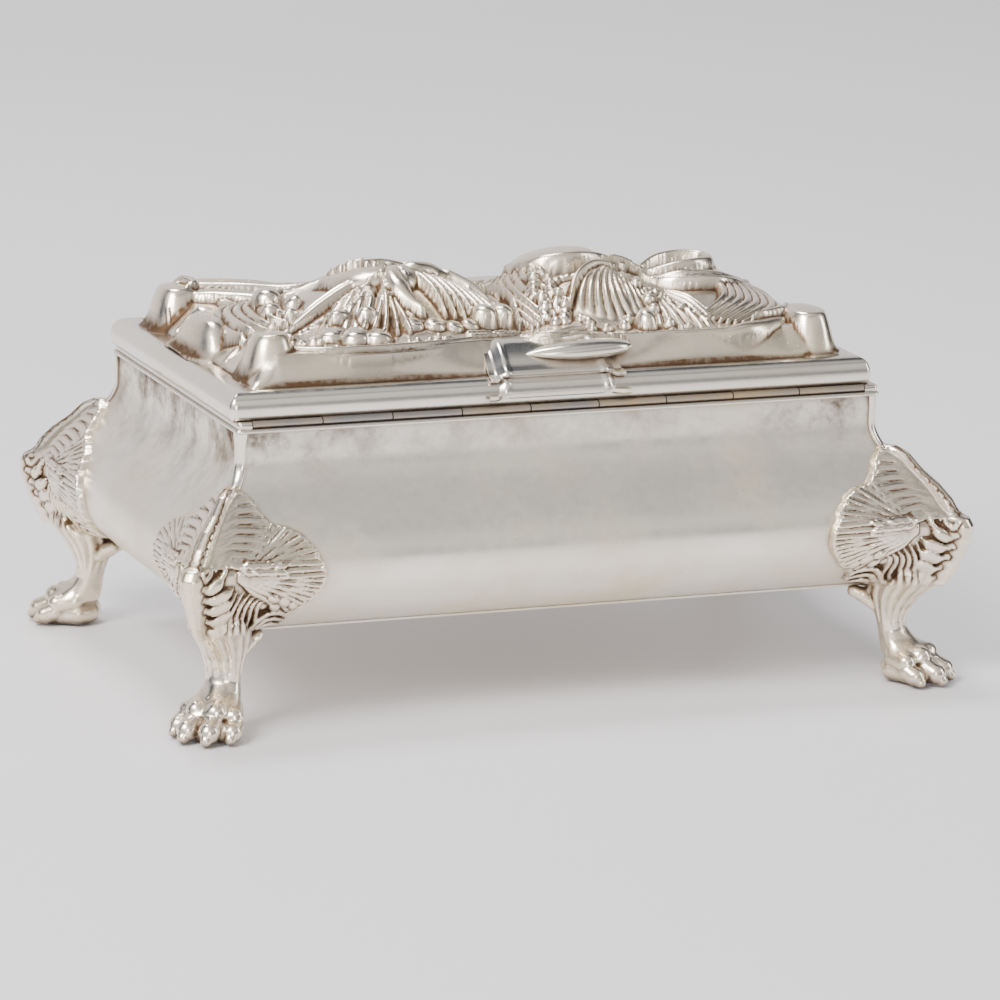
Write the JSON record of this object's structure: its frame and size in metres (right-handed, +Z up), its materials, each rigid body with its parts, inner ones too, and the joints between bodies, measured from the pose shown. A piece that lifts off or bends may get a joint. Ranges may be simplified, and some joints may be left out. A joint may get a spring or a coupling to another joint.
{
  "type": "footed trinket box",
  "caption": "Footed metal trinket box with swelling panels, cabriole paw legs, a hinged lid with a raised relief, and a velvet lining.",
  "frame": {"origin": "middle of the floor under the feet", "axes": "+X to the right along the length, +Y to the hinge at the back, +Z up; the lid opens at the front, -Y"},
  "size_m": [0.2444, 0.16, 0.117],
  "materials": {
    "plating": "worn silver plate, warm tarnish in the recesses",
    "hinge_brass": "dull brass with remains of solder",
    "velvet": "cotton velvet pile",
    "card": "grey paperboard"
  },
  "bodies": {
    "box": {"front_panel": "plating", "back_panel": "plating", "left_panel": "plating", "right_panel": "plating", "front_left_strip": "plating", "front_right_strip": "plating", "back_left_strip": "plating", "back_right_strip": "plating", "bottom_plate": "plating", "rim_frame": "plating", "front_left_leg": "plating", "front_right_leg": "plating", "back_left_leg": "plating", "back_right_leg": "plating", "floor_card": "card", "floor_pad": "velvet", "front_lining": "velvet", "back_lining": "velvet", "left_lining": "velvet", "right_lining": "velvet", "lower_hinge_leaf": "hinge_brass", "hinge_pin": "hinge_brass"},
    "lid": {"lid_frame": "plating", "lid_relief": "plating", "lid_card": "card", "lid_pad": "velvet", "upper_hinge_leaf": "hinge_brass"}
  },
  "joints": [
    {"name": "lid_hinge", "type": "hinge", "parent": "box", "child": "lid", "pos_m": [0, 0.056, 0.0872], "axis": [-1, 0, 0], "range_deg": [0, 100]}
  ]
}
